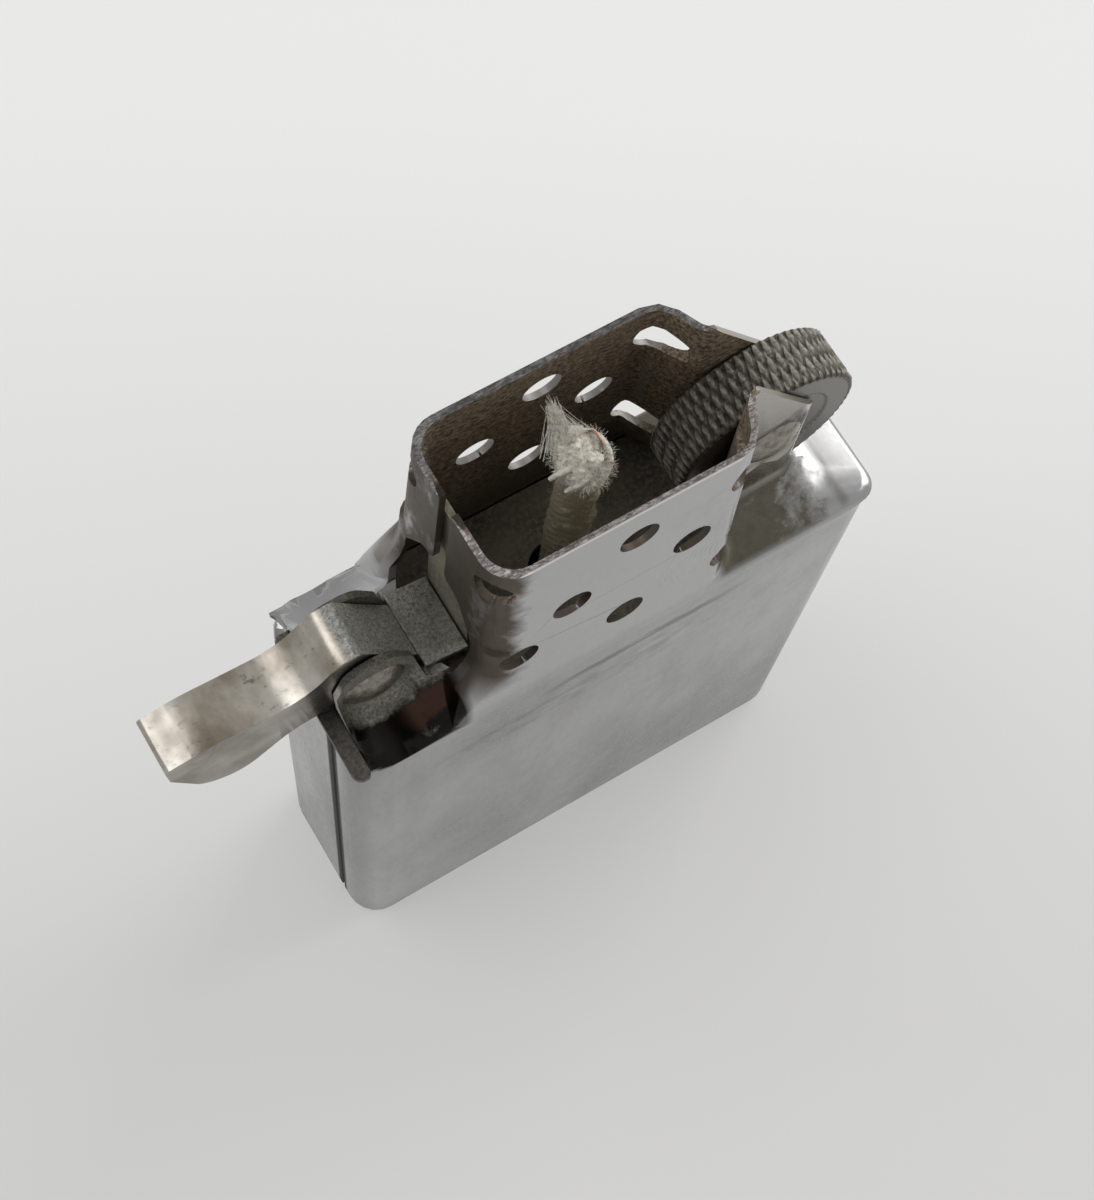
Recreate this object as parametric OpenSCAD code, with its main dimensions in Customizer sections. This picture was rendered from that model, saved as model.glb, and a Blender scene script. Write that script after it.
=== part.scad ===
// Insert of a windproof petrol lighter: a formed sheet case whose top is drawn in to a
// pierced wind chimney, with a striker wheel riveted between two ears at one end and a
// sprung cam at the other. Millimetres; +Z up, +X towards the striker, the front faces -Y.
// The origin is the middle of the open bottom.

/* [Case] */
// Width of the body
body_w = 34.2; // [33.4:0.1:35.4]
// Depth of the body, front to back
body_d = 11; // [10.6:0.1:11.8]
// Height of the shoulders above the open bottom
shoulder_z = 37; // [35:0.5:39]
// Plan radius of the body's upright corners
corner_r = 2.1; // [1.7:0.1:2.6]
// Sheet thickness of the case
wall = 0.4; // [0.35:0.05:0.5]
// Roll of the shoulder edge at the striker end
edge_r = 0.8; // [0.6:0.1:1]
// Width of the upright seam line on the cam end
seam_w = 0.3; // [0.1:0.05:0.4]

/* [Chimney] */
// Height of the chimney rim above the open bottom
rim_z = 53; // [51:0.5:55]
// Depth of the chimney at the rim
rim_d = 9.5; // [9:0.1:10.2]
// Length of the rim, from the slotted end to where it turns into the ears
rim_len = 15; // [14.6:0.1:15.6]
// How far the middle of the rim lies towards the cam
rim_shift = 1.4; // [1.1:0.1:1.7]
// Plan radius of the corners at the rim
rim_r = 3.3; // [2.8:0.1:3.6]
// How much further the foot's crisp corners reach at the cam end
foot_spread = 2.3; // [1.8:0.1:2.6]
// Height over which those corners draw in
foot_rise = 4.5; // [4:0.1:5]
// Length of the slanted return from the front wall to the ears
return_len = 1.3; // [1.1:0.1:1.6]
// Diameter of the air holes
vent_d = 2.3; // [1.8:0.1:2.6]
// Spacing of the holes in the rows of three
vent_pitch = 6.6; // [6.2:0.1:6.8]
// Height of the lowest row above the shoulders
vent_low = 3.5; // [3:0.1:3.8]
// Rise from the lowest row to the middle row
vent_rise = 5.2; // [4.8:0.1:5.6]
// Rise from the middle row to the top row
vent_rise_top = 4.3; // [4:0.1:4.8]
// Width of the slot between the two end flaps
slot_w = 1.1; // [0.8:0.1:1.4]
// Height of the arch under the flaps, above the shoulders
arch_h = 8.2; // [7.6:0.1:8.8]

/* [Striker] */
// Diameter of the striker wheel
wheel_d = 11; // [10.4:0.1:11.4]
// Thickness of the striker wheel
wheel_t = 3.2; // [2.8:0.1:3.4]
// Number of file teeth round the wheel
wheel_teeth = 64; // [48:1:72]
// Depth of the teeth
tooth_h = 0.14; // [0.08:0.02:0.2]
// How far the wheel's axle lies outside the end of the rim
wheel_out = 4.2; // [4:0.1:4.4]
// Height of the wheel's axle above the shoulders
wheel_up = 6.8; // [6.6:0.1:7.2]

/* [Cam] */
// Thickness of the cam lever
cam_t = 3.2; // [2.8:0.1:3.4]
// Reach of the cam's nose from its pivot
cam_reach = 11.9; // [11:0.1:12.4]
// How far the cam's pivot lies in from the end of the body
cam_in = 3; // [2.85:0.05:3.2]
// Height of the cam's pivot above the shoulders
cam_up = 2.3; // [2.2:0.1:2.6]
// Distance of the cam's two flats from its pivot
cam_flat = 2.3; // [2.1:0.05:2.4]
// Radius swept by the corner between the two flats
cam_lobe = 2.9; // [2.8:0.05:3]

/* [Rivets] */
// Diameter of the rivet pins
pin_d = 2; // [1.6:0.1:2.2]
// Diameter of the rivet heads
head_d = 3.8; // [3.4:0.1:4]
// Height of the domed heads
head_h = 0.55; // [0.4:0.05:0.7]
// Depth of the dishes pressed round the heads
dish = 0.15; // [0.1:0.05:0.2]

/* [Cam spring] */
// Thickness of the leaf spring
leaf_t = 0.45; // [0.35:0.05:0.5]
// Width of the leaf under the cam
leaf_w = 3.1; // [2.7:0.1:3.2]
// Width of its free end
tongue_w = 4.6; // [4:0.1:4.8]

/* [Flint feed] */
// Outer diameter of the flint tube
tube_d = 3.2; // [3:0.05:3.3]
// Bore of the flint tube
tube_bore = 2.56; // [2.5:0.02:2.6]
// Diameter of the flint
flint_d = 2.4; // [2.3:0.05:2.42]
// Length of the flint
flint_len = 6; // [3:0.5:6.5]
// Gap between the flint and the wheel
flint_gap = 0.06; // [0.04:0.01:0.1]
// Diameter of the screw's slotted head
screw_head_d = 5.4; // [5:0.1:6]
// Height of the screw's head
screw_head_h = 1.6; // [1.4:0.1:2]
// Threaded length of the screw
screw_len = 5; // [4:0.5:7]
// Turns of the flint spring
spring_turns = 16; // [12:1:20]
// Wire diameter of the flint spring
spring_wire = 0.36; // [0.3:0.02:0.4]

/* [Fuel chamber] */
// Thickness of the felt pad
pad_t = 3; // [2:0.1:3.4]
// How far the felt pad lies in from the open bottom
pad_in = 0.4; // [0.3:0.1:0.8]
// Clearance of the felt pad and the deck from the case
fit_gap = 0.06; // [0.03:0.01:0.1]
// Thickness of the deck plate
deck_t = 0.5; // [0.4:0.1:0.7]
// Depth of the deck plate under the shoulders
deck_drop = 1.6; // [1.5:0.1:2.2]
// Width of the deck's upturned tab
tab_w = 4.2; // [3.6:0.1:4.3]
// Diameter of the wick
wick_d = 3; // [2.6:0.1:3.2]
// Height of the wick's tip under the rim
wick_drop = 1.6; // [1:0.1:3]
// Offset of the wick from the middle of the body
wick_x = -1.1; // [-1.7:0.1:-0.7]
// Diameter of the wick's copper wire
wire_d = 0.3; // [0.2:0.05:0.4]
// Clearance round each tuft of packing
tuft_gap = 0.25; // [0.2:0.05:0.4]

/* [Hidden] */
$fn = 64;

side_gap = 0.1;                                   // beside the cam and the wheel
run_gap = 0.05;                                   // round the rivet pins
ear_in = max(cam_t, wheel_t) / 2 + side_gap;      // inner faces of the ears
ear_out = ear_in + wall;                          // outer faces of the ears
rim_x0 = -rim_len / 2 - rim_shift;                // slotted end of the rim
rim_x1 = rim_len / 2 - rim_shift;                 // end of the rim's long sides
foot_z = shoulder_z - edge_r;                     // where the chimney walls begin to lean
vent_x = -rim_shift + 0.75;                       // middle of the hole pattern
wheel_x = rim_x1 + wheel_out;
wheel_z = shoulder_z + wheel_up;
cam_x = cam_in - body_w / 2;
cam_z = shoulder_z + cam_up;
roof_z = shoulder_z - wall;                       // underside of the shoulders
sheet_x = -body_w / 2 + 0.85;                     // cut end of the cam-side sheet
deck_z = shoulder_z - deck_drop;                  // top of the deck plate
slot_y = 0.2;                                     // the slot is a little off the middle
tube_x = wheel_x;
wheel_low = wheel_z - wheel_d / 2;
flint_z = wheel_low - flint_gap;                  // top of the flint
tube_top = wheel_low - 0.4;
screw_z = pad_in - 0.1;                           // outer face of the screw's head
tube_z = screw_z + screw_head_h;                  // the head bears on the tube
pad_top = pad_in + pad_t;
tab_x = rim_x0 + wall + 0.15;                     // outer face of the deck's tab
flare_r = 2.5;                                    // hollow of the shelf up to the striker ears
hollow_r = 1.8;                                   // and round their ends
saddle_drop = 0.8;                                // saddle below the cam's pivot
saddle_x = cam_x + 3.1;                           // where the saddle meets the chimney's foot
cam_top_z = cam_z + 3.75;                         // tops of the cam ears
cup_r = head_d / 2 + 0.25;                        // floor of the dishes pressed round the heads

// Unit vector along v
function unit(v) = v / norm(v);

// Outline p with every side moved in by d; convex corners tighten, hollow ones open
function inset_path(p, d) = [for (k = [0:len(p) - 1])
    let (a = p[(k + len(p) - 1) % len(p)], b = p[k], c = p[(k + 1) % len(p)],
         u = unit([b.x - a.x, b.y - a.y]), v = unit([c.x - b.x, c.y - b.y]),
         m = [-u.y, u.x], n = [-v.y, v.x], q = (m + n) * d / (1 + m * n),
         left = u.x * v.y - u.y * v.x > 0)
    [b.x + q.x, b.y + q.y, b[2] == 0 ? 0 : left ? max(b[2] - d, 0.05) : b[2] + d]];

// Arc of n steps that rounds corner k of outline p to the radius in its third place
function corner_arc(p, k, n) =
    let (a = p[(k + len(p) - 1) % len(p)], b = p[k], c = p[(k + 1) % len(p)])
    b[2] == 0 ? [[b.x, b.y]] :
    let (u = unit([a.x - b.x, a.y - b.y]), v = unit([c.x - b.x, c.y - b.y]),
         half = acos(u * v) / 2, o = [b.x, b.y] + unit(u + v) * b[2] / sin(half),
         s = [b.x, b.y] + u * b[2] / tan(half) - o,
         e = [b.x, b.y] + v * b[2] / tan(half) - o,
         a0 = atan2(s.y, s.x), turn = (atan2(e.y, e.x) - a0 + 540) % 360 - 180)
    [for (i = [0:n]) o + b[2] * [cos(a0 + turn * i / n), sin(a0 + turn * i / n)]];

function rounded(p, n = 8) = [for (k = [0:len(p) - 1]) each corner_arc(p, k, n)];

// Solid through outlines of equal count, one at each height
module loft(plans, heights) {
    n = len(plans[0]);
    last = len(plans) - 1;
    points = [for (k = [0:last], p = plans[k]) [p.x, p.y, heights[k]]];
    sides = [for (k = [0:last - 1], i = [0:n - 1]) let (a = k * n + i, b = k * n + (i + 1) % n)
        each [[a, a + n, b], [b, a + n, b + n]]];
    polyhedron(points, [[for (i = [0:n - 1]) i], each sides,
        [for (i = [n - 1:-1:0]) last * n + i]]);
}

// Prism of a flat X-Z shape, standing across the part between y0 and y1
module across(y0, y1) {
    translate([0, y1, 0]) rotate([90, 0, 0]) linear_extrude(y1 - y0) children();
}

// Prism of a flat Y-Z shape, lying along the part between x0 and x1
module along(x0, x1) {
    translate([x0, 0, 0]) rotate([90, 0, 90]) linear_extrude(x1 - x0) children();
}

module round_rect(x0, x1, half, r) {
    translate([x0 + r, -half]) square([x1 - x0 - 2 * r, 2 * half]);
    translate([x0, r - half]) square([x1 - x0, 2 * (half - r)]);
    for (x = [x0 + r, x1 - r], y = [r - half, half - r]) translate([x, y]) circle(r);
}

// Arc of n + 1 points that rounds the corner b between a and c, from d before it to d after
function bend(a, b, c, d, n) =
    let (u = unit(a - b), v = unit(c - b), w = sqrt(max(1 - u * v, 0) / 2),
         e = min(d, 0.49 * norm(a - b), 0.49 * norm(c - b)))
    [for (i = [0:n]) let (t = i / n, p = pow(1 - t, 2), q = 2 * t * (1 - t) * w, r = t * t)
        (p * (b + e * u) + q * b + r * (b + e * v)) / (p + q + r)];

// Share of the way from a to b, kept between 0 and 1
function part_way(z, a, b) = min(max((z - a) / (b - a), 0), 1);

// Half depth, height by height: of the chimney walls, the cam ears and the striker ears
function chimney_y(z) = (body_d - (body_d - rim_d) * part_way(z, foot_z, rim_z)) / 2;
function cam_ear_y(z) = ear_out + (body_d / 2 - ear_out)
    * pow(1 - part_way(z, shoulder_z - 0.7, cam_z), 1.25);
function wheel_ear_y(z) = z < shoulder_z
    ? body_d / 2 - edge_r + edge_r * sqrt(1 - pow(part_way(z, foot_z, shoulder_z), 2))
    : ear_out + flare_r - sqrt(flare_r * flare_r - pow(max(shoulder_z + flare_r - z, 0), 2));

// Ends, height by height: of the chimney at the cam, the body at the striker, and the ears there
function chimney_x0(z) = rim_x0 - 0.4 * (1 - part_way(z, foot_z, rim_z))
    - (foot_spread - 0.4) * (1 - pow(part_way(z, foot_z, foot_z + foot_rise), 1.6));
function wheel_end_x(z) = z < shoulder_z
    ? body_w / 2 - edge_r + edge_r * sqrt(1 - pow(part_way(z, foot_z, shoulder_z), 2))
    : wheel_x + 3.1 + hollow_r - sqrt(hollow_r * hollow_r - pow(max(shoulder_z + hollow_r - z, 0), 2));

// Corners of the front half's plan at height z, from the cam end to the striker end: [x, y, ease]
function front_plan(z) =
    let (c = chimney_y(z), x0 = chimney_x0(z), over = z > cam_top_z + 0.2, low = z < foot_z ? 0.6 : 0,
         e = wheel_ear_y(z), a = cam_ear_y(z), t = part_way(z, foot_z, rim_z),
         fold = return_len * (z < shoulder_z ? 0.6 : 1),
         corner = max(corner_r * (1 - part_way(z, foot_z, cam_z)), 0.8))
    [over ? [x0, -0.5, 0.1] : [-body_w / 2, -a, corner],
     over ? [x0, -1, 0.1] : [x0 - low, -a, 0.4],
     [x0 + low, -c, 0.4 + (rim_r - 0.4) * part_way(z, foot_z + 1, foot_z + 8)],
     [rim_x1 - 0.4 * (1 - t), -c, z < foot_z ? 0.2 : 0.4 + 0.8 * t],
     [rim_x1 + fold, -e, 0.4],
     [wheel_end_x(z), -e, z < shoulder_z ? corner_r - edge_r * (z < foot_z ? 0 : 1) : min(e - 0.1, 1.8)]];

// Heights at which the plans are drawn
levels = [foot_z - 8, foot_z - 0.05, foot_z + 0.3, roof_z + 0.12, shoulder_z - 0.03, shoulder_z + 0.03,
    shoulder_z + 0.4, shoulder_z + 1, cam_z - 0.5, cam_z, cam_z + 1, cam_z + 2.2,
    cam_top_z + 0.1, cam_top_z + 0.3, rim_z];

// Sheet of the whole case before trimming: up the outer skin and down the inner one
module case_sheet() {
    steps = [5, 2, 6, 2, 2, 6];
    function drop(z) = wall * min(part_way(z, foot_z, shoulder_z), 1 - part_way(z, shoulder_z + 0.4, cam_z + 1));
    function ring(z, g) = let (f = front_plan(z), whole = [each f,
        each [for (i = [len(f) - 1:-1:0]) [f[i].x, -f[i].y, f[i][2]]]],
        p = g > 0 ? inset_path(whole, g) : whole, m = len(p))
        [for (k = [0:m - 1]) let (a = p[(k + m - 1) % m], b = p[k], c = p[(k + 1) % m])
            each bend([a.x, a.y], [b.x, b.y], [c.x, c.y], b[2], steps[k < 6 ? k : 11 - k])];
    last = len(levels) - 1;
    rings = [ring(0, 0), for (z = levels) ring(z, 0),
        for (k = [last:-1:0]) ring(levels[k], wall), ring(0, wall)];
    heights = [0, each levels, for (k = [last:-1:0]) levels[k] - drop(levels[k]), 0];
    n = len(rings[0]);
    all = n * len(rings);
    polyhedron([for (k = [0:len(rings) - 1], p = rings[k]) [p.x, p.y, heights[k]]],
        [for (k = [0:len(rings) - 1], i = [0:n - 1]) let (a = k * n + i, b = k * n + (i + 1) % n)
            each [[a, (a + n) % all, b], [b, (a + n) % all, (b + n) % all]]]);
}

// Side view of what is trimmed off round the cam ears, down to the saddle before the chimney
module cam_trim() {
    saddle = cam_z - saddle_drop;
    polygon(rounded([[-body_w, cam_top_z + 1.5, 0], [-body_w, roof_z, 0], [sheet_x, roof_z, 0],
        [sheet_x - 0.15, cam_z + 1.2, 0.4], [cam_x - 1.5, cam_top_z, 1.6],
        [cam_x + 0.9, cam_top_z, 1.6], [cam_x + 2.3, cam_z + 1.6, 1.5], [cam_x + 2.75, saddle, 0.3],
        [saddle_x, saddle, 0], [saddle_x, cam_top_z + 1.5, 0]]));
}

// Side view of what is trimmed off behind and above the striker ears
module striker_trim() {
    ear_x = wheel_x + 3.15;
    polygon(rounded([[body_w, shoulder_z + 2, 0], [body_w, rim_z + 1, 0],
        [rim_x1 + return_len - 0.4, rim_z + 1, 0], [ear_x, wheel_z + 1.2, 0.6],
        [ear_x - 0.55, shoulder_z + 3.4, 0.8], [ear_x, shoulder_z + 2, 0]]));
}

// Arch and slot that part the chimney's end wall into two flaps
module end_opening() {
    arch_z = shoulder_z + arch_h;
    saddle = cam_z - saddle_drop;
    half = 3.4;
    tip = 0.5;
    side = [[ear_out, saddle - 0.1, 0], [ear_out + 0.8, saddle, 0], [half, saddle + 0.7, 0],
        [half, arch_z - 2.6, 1.8], [half - 1.7, arch_z, 1.2]];
    edge = [[slot_w / 2, arch_z, tip], [slot_w / 2, rim_z + 1, 0]];
    polygon(rounded([each side, each [for (q = edge) [q.x + slot_y, q.y, q[2]]],
        each [for (i = [1:-1:0]) [slot_y - edge[i].x, edge[i].y, edge[i][2]]],
        each [for (i = [4:-1:0]) [-side[i].x, side[i].y, side[i][2]]]]));
}

// Air holes in rows of three, two and three; forming draws the two at the cam-end corner
// round it at the top and upwards at the bottom
module vents() {
    top = vent_low + vent_rise + vent_rise_top;
    holes = [[0, vent_low], [1, vent_low], [-1, vent_low + 1.5], [-0.55, vent_low + vent_rise],
             [0.55, vent_low + vent_rise], [0, top], [1, top]];
    for (p = holes) translate([vent_x + p.x * vent_pitch, body_d, shoulder_z + p.y])
        rotate([90, 0, 0]) cylinder(d = vent_d, h = 2 * body_d);
    for (s = [-1, 1]) translate([rim_x0 + rim_r, s * (rim_d / 2 - rim_r), shoulder_z + top + 0.6])
        rotate([0, 0, 180 - s * 40]) rotate([0, 90, 0]) cylinder(d = vent_d, h = rim_r + 2);
}

// Dish on both ears at x, z: of radius r0 at |y| = y0, opening to r1 at y1
module on_ears(x, z, r0, r1, y0, y1) {
    for (s = [-1, 1]) translate([x, s * y0, z]) rotate([-90 * s, 0, 0])
        cylinder(r1 = r0, r2 = r1, h = y1 - y0);
}

// Cups pressed into the flared cam ears round the rivet heads
module cam_cups() {
    zs = [foot_z - 1.8, shoulder_z - 0.7, shoulder_z, cam_z - 1.5, cam_z - 0.7, cam_z, cam_z + 4];
    intersection() {
        on_ears(cam_x, cam_z, cup_r + wall, cup_r + wall + 1.3, ear_in + 0.03, body_d / 2 - 0.2);
        along(cam_x - 5, cam_x + 5) polygon([for (z = zs) [cam_ear_y(z) - 0.1, z],
            for (i = [len(zs) - 1:-1:0]) [0.1 - cam_ear_y(zs[i]), zs[i]]]);
    }
}

module insert_case() {
    color("silver") difference() {
        union() {
            case_sheet();
            cam_cups();
        }
        across(-body_d, body_d) cam_trim();
        across(-body_d, body_d) striker_trim();
        along(saddle_x - 0.1, rim_x0 + wall + 0.6) end_opening();
        vents();
        translate([rim_x1 + 1, 0.02 - ear_in, shoulder_z + 0.4])
            cube([wheel_d, 2 * ear_in - 0.04, rim_z]);
        on_ears(cam_x, cam_z, cup_r, cup_r + 1.3, ear_out - dish, body_d / 2 + 0.2);
        on_ears(wheel_x, wheel_z, cup_r, cup_r + 0.6, ear_out - dish, ear_out + 1);
        for (p = [[cam_x, cam_z], [wheel_x, wheel_z]]) translate([p.x, 0, p.y]) rotate([90, 0, 0])
            cylinder(d = pin_d + 0.02, h = body_d, center = true);
        translate([-body_w / 2 - 1, -2.7, -1]) cube([1 + wall / 2, seam_w, roof_z - 0.5]);
    }
}

// Floor of the chimney, turned up behind the slot
module deck_plate() {
    half = body_d / 2 - wall - fit_gap;
    x = body_w / 2 - wall - fit_gap;
    color("dimgray") {
        translate([0, 0, deck_z - deck_t]) linear_extrude(deck_t) difference() {
            round_rect(-x, x, half, corner_r - wall);
            translate([wick_x, 0]) circle(d = wick_d + 0.5);
            translate([tube_x, 0]) circle(d = tube_d + 2 * run_gap);
        }
        translate([tab_x, slot_y - tab_w / 2, deck_z - deck_t / 2])
            cube([0.4, tab_w, rim_z - 2.5 - deck_z]);
    }
}

// Pin through both ears with a domed head in each dish
module rivet(x, z) {
    r = head_d / 2;
    ball = (r * r + head_h * head_h) / (2 * head_h);
    seat = ear_out - dish;
    translate([x, seat, z]) rotate([90, 0, 0]) cylinder(d = pin_d, h = 2 * seat);
    for (s = [-1, 1]) intersection() {
        translate([x, s * (seat + head_h - ball), z]) sphere(ball, $fn = 128);
        translate([x, s * (seat + head_h / 2), z]) rotate([90, 0, 0])
            cylinder(r = r, h = head_h, center = true);
    }
}

module cam_rivet() { color("gainsboro") rivet(cam_x, cam_z); }
module wheel_rivet() { color("gainsboro") rivet(wheel_x, wheel_z); }

// Side outline of the lever about its pivot: two flats, the humped back and the nose
module cam_lever() {
    k = cam_reach / 11.9;
    flat_up = 34;                                 // the back flat faces this far above +X
    flat_low = -50;                               // and the lower flat this far below it
    open = (flat_up - flat_low) / 2;
    corner = cam_flat / cos(open);
    mid = (flat_up + flat_low) / 2;
    shave = (corner - cam_lobe) / (1 / cos(open) - 1);
    back = cam_flat * [cos(flat_up), sin(flat_up)] + 4.4 * [-sin(flat_up), cos(flat_up)];
    toe = cam_flat * [cos(flat_low), sin(flat_low)] + 1.4 * [sin(flat_low), -cos(flat_low)];
    path = [[corner * cos(mid), corner * sin(mid), max(shave, 0.3)], [back.x, back.y, 0.5],
        [-1.9, 4.9, 1.5], [-3.6 * k, 2.6, 3.4], [-9.6 * k, 3.05, 7], [-cam_reach, 2.7, 0.35],
        [-11.75 * k, 0.9, 0.8], [-10.1 * k, -2.6, 2.8], [-7.9 * k, -3.7, 2], [-4.6 * k, -1.3, 3.6],
        [-2.2, -1.3, 0.4], [-1.4, -2.1, 0.8], [toe.x, toe.y, 0.5]];
    color("silver") translate([cam_x, 0, cam_z]) difference() {
        across(-cam_t / 2, cam_t / 2) polygon(rounded(path, 12));
        rotate([90, 0, 0]) cylinder(d = pin_d + 2 * run_gap, h = cam_t + 1, center = true);
    }
}

// Leaf spring: a bar on the end wall, a cradle round the cam's lobe and a wide free end
module cam_spring() {
    in_r = cam_lobe + 0.07;
    out_r = in_r + leaf_t;
    tip_x = tab_x - 0.15;
    arch = 0.3;                                   // rise of the bar from its ends to the middle
    bar_x = -body_w / 2 - 0.2;                    // outer edge, a little proud of the end wall
    near = body_d / 2 + 0.2;
    far = body_d / 2 - 1.8;
    bow = 2.4;                                    // length of each end that runs down from the arch
    crest = [in_r * cos(8), -in_r * sin(8)];
    color("dimgray") {
        intersection() {
            along(bar_x, sheet_x - 0.06) polygon([[-near, roof_z], [bow - near, roof_z + arch],
                [far - bow, roof_z + arch], [far, roof_z], [far, roof_z + leaf_t],
                [far - bow, roof_z + arch + leaf_t], [bow - near, roof_z + arch + leaf_t],
                [-near, roof_z + leaf_t]]);
            translate([0, 0, roof_z - 1]) linear_extrude(3) polygon(rounded([
                [bar_x, -near - 0.01, 0.6], [sheet_x - 0.06, -near - 0.01, 0.3],
                [sheet_x - 0.06, far + 0.01, 0], [bar_x, far + 0.01, 0.6]]));
        }
        translate([cam_x, 0, cam_z]) {
            across(-leaf_w / 2, leaf_w / 2) intersection() {
                difference() {
                    circle(out_r);
                    circle(in_r);
                }
                polygon([[0, 0], [-9, -9 * tan(58)], [-4, -12], [6, -12], [9, -9 * tan(8)]]);
            }
        }
        across(-leaf_w / 2, leaf_w / 2) polygon([[sheet_x - 0.8, roof_z + arch],
            [cam_x - (in_r + leaf_t / 2) * cos(58), cam_z - (in_r + leaf_t / 2) * sin(58)],
            [cam_x - in_r * cos(60), cam_z - in_r * sin(60) + 0.02],
            [sheet_x - 0.8, roof_z + arch + leaf_t]]);
        across(-tongue_w / 2, tongue_w / 2) polygon([
            [cam_x + in_r * cos(8), cam_z - in_r * sin(8) - 0.05],
            [cam_x + in_r * cos(8) + 0.1, cam_z - in_r * sin(8) + 0.05],
            [tip_x, shoulder_z + 1.1 + leaf_t / 2], [tip_x, shoulder_z + 1.1 - leaf_t / 2],
            [cam_x + out_r * cos(8), cam_z - in_r * sin(8) - 0.5]]);
    }
}

// File-cut wheel with its edges eased
module spark_wheel() {
    r = wheel_d / 2;
    ease = 0.35;
    color("dimgray") translate([wheel_x, 0, wheel_z]) difference() {
        intersection() {
            across(-wheel_t / 2, wheel_t / 2) polygon([for (i = [0:2 * wheel_teeth - 1])
                (i % 2 == 0 ? r : r - tooth_h) * [cos(180 * i / wheel_teeth), sin(180 * i / wheel_teeth)]]);
            rotate([90, 0, 0]) rotate_extrude() polygon([[0, -wheel_t / 2], [r - ease, -wheel_t / 2],
                [r + 0.01, ease - wheel_t / 2], [r + 0.01, wheel_t / 2 - ease], [r - ease, wheel_t / 2],
                [0, wheel_t / 2]]);
        }
        rotate([90, 0, 0]) cylinder(d = pin_d + 2 * run_gap, h = wheel_t + 1, center = true);
    }
}

module flint_tube() {
    color("gray") translate([tube_x, 0, tube_z]) difference() {
        cylinder(d = tube_d, h = tube_top - tube_z);
        translate([0, 0, -1]) cylinder(d = tube_bore, h = tube_top - tube_z + 2);
    }
}

module flint() {
    color("darkslategray") translate([tube_x, 0, flint_z - flint_len]) cylinder(d = flint_d, h = flint_len);
}

tip_h = 1.4;                                      // plunger's head under the flint
tip_z = flint_z - flint_len - tip_h;
coil_r = tube_bore / 2 - spring_wire / 2 - 0.12;
coil_z0 = tube_z + screw_len;
coil_z1 = tip_z;

// Brass plunger: a head under the flint and a stem inside the coil
module spring_tip() {
    color("goldenrod") translate([tube_x, 0, 0]) {
        translate([0, 0, tip_z]) cylinder(d = flint_d - 0.1, h = tip_h);
        translate([0, 0, tip_z - 2.5]) cylinder(r = coil_r - spring_wire / 2 - 0.1, h = 2.6);
    }
}

// Coil of round wire between the screw and the plunger
module flint_spring() {
    steps = 12;
    sides = 6;
    n = spring_turns * steps;
    z0 = coil_z0 + spring_wire / 2 + 0.02;
    z1 = coil_z1 - spring_wire / 2 - 0.02;
    rings = [for (i = [0:n]) let (a = 360 * i / steps) [for (j = [0:sides - 1])
        let (b = 360 * j / sides, q = coil_r + spring_wire / 2 * cos(b))
        [q * cos(a), q * sin(a), z0 + (z1 - z0) * i / n + spring_wire / 2 * sin(b)]]];
    walls = [for (i = [0:n - 1], j = [0:sides - 1]) let (p = i * sides + j,
        q = i * sides + (j + 1) % sides) each [[p, q, p + sides], [q, q + sides, p + sides]]];
    color("lightgray") translate([tube_x, 0, 0]) polyhedron([for (ring = rings) each ring],
        [[for (j = [sides - 1:-1:0]) j], each walls, [for (j = [0:sides - 1]) n * sides + j]]);
}

module flint_screw() {
    color("goldenrod") translate([tube_x, 0, 0]) difference() {
        union() {
            translate([0, 0, screw_z]) cylinder(d = screw_head_d, h = screw_head_h);
            translate([0, 0, tube_z - 0.1]) cylinder(d = tube_bore - 2 * run_gap, h = screw_len + 0.1);
        }
        translate([-screw_head_d, -0.4, screw_z - 1]) cube([2 * screw_head_d, 0.8, 1.7]);
    }
}

tail_z = pad_top + wick_d / 2 + 0.2;              // height of the wick's tail over the pad
bend_r = 4;                                       // turn at the foot of the wick
tail_x = wick_x - 11;                             // end of the tail

// Route of the wick, drawn as a round cord of diameter d
module wick_route(d) {
    translate([wick_x, 0, tail_z + bend_r]) cylinder(d = d, h = rim_z - wick_drop - tail_z - bend_r);
    translate([wick_x - bend_r, 0, tail_z + bend_r]) rotate([-90, 0, 0]) rotate_extrude(angle = 90)
        translate([bend_r, 0]) circle(d = d);
    translate([tail_x, 0, tail_z]) rotate([0, 90, 0]) cylinder(d = d, h = wick_x - bend_r - tail_x);
}

module wick() {
    color("ivory") difference() {
        wick_route(wick_d);
        wick_route(wire_d + 0.02);
    }
}

module wick_wire() { color("peru") wick_route(wire_d); }

chamber_x = body_w / 2 - wall;
chamber_y = body_d / 2 - wall;
chamber_z = deck_z - deck_t;

// Tuft of packing that fills the box x0..x1, z0..z1 of the chamber
module tuft(x0, x1, z0, z1) {
    g = tuft_gap;
    w = (x1 - x0) / 2 - g;
    h = (z1 - z0) / 2 - g / 2;
    color("whitesmoke") translate([(x0 + x1) / 2, 0, (z0 + z1) / 2])
        scale([w / h, (chamber_y - g) / h, 1]) sphere(h, $fn = 48);
}

left_z = tail_z + wick_d / 2;
left_h = (chamber_z - left_z) / 3;
right_h = (chamber_z - pad_top) / 2;
module packing_1() { tuft(-chamber_x, wick_x - wick_d / 2, left_z, left_z + left_h); }
module packing_2() { tuft(-chamber_x, wick_x - wick_d / 2, left_z + left_h, left_z + 2 * left_h); }
module packing_3() { tuft(-chamber_x, wick_x - wick_d / 2, left_z + 2 * left_h, chamber_z); }
module packing_4() { tuft(wick_x + wick_d / 2, tube_x - tube_d / 2, pad_top, pad_top + right_h); }
module packing_5() { tuft(wick_x + wick_d / 2, tube_x - tube_d / 2, pad_top + right_h, chamber_z); }

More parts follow.
